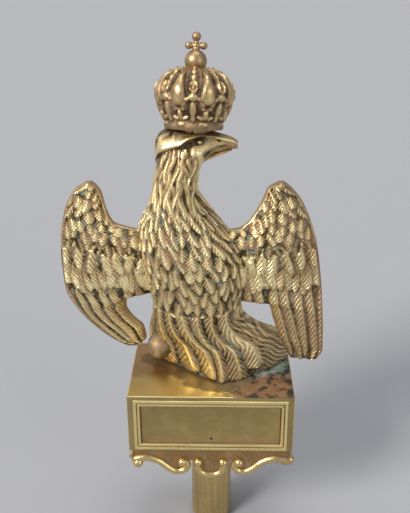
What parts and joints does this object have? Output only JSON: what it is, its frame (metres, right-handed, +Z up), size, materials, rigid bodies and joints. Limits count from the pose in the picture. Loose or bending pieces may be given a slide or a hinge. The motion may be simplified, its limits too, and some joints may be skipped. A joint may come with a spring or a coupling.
{
  "type": "eagle finial",
  "caption": "Crowned eagle with raised wings on a framed rectangular plinth, with a scroll apron and a tubular socket that slips over a pole end",
  "frame": {"origin": "centre of the socket's lower mouth, on the axis of the pole", "axes": "X along the plinth's long side towards the side the beak points to, Y away from the eagle's back, towards its breast side, Z up along the pole"},
  "size_m": [0.2291, 0.1, 0.4536],
  "materials": {
    "socket": "brown aged brass tube with streaks along it",
    "apron": "cast brass, coppery in the field and bright on the rolled rims",
    "plinth": "sheet brass with bright edges, verdigris and orange stains on top",
    "eagle": "cast brass, bright on the high feathers, brown and grey green in the hollows",
    "crown": "cast brass, browner than the eagle, bright on pearls and orb"
  },
  "bodies": {
    "root": {"socket": "socket", "apron": "apron", "plinth": "plinth", "eagle": "eagle", "crown": "crown"}
  },
  "joints": []
}
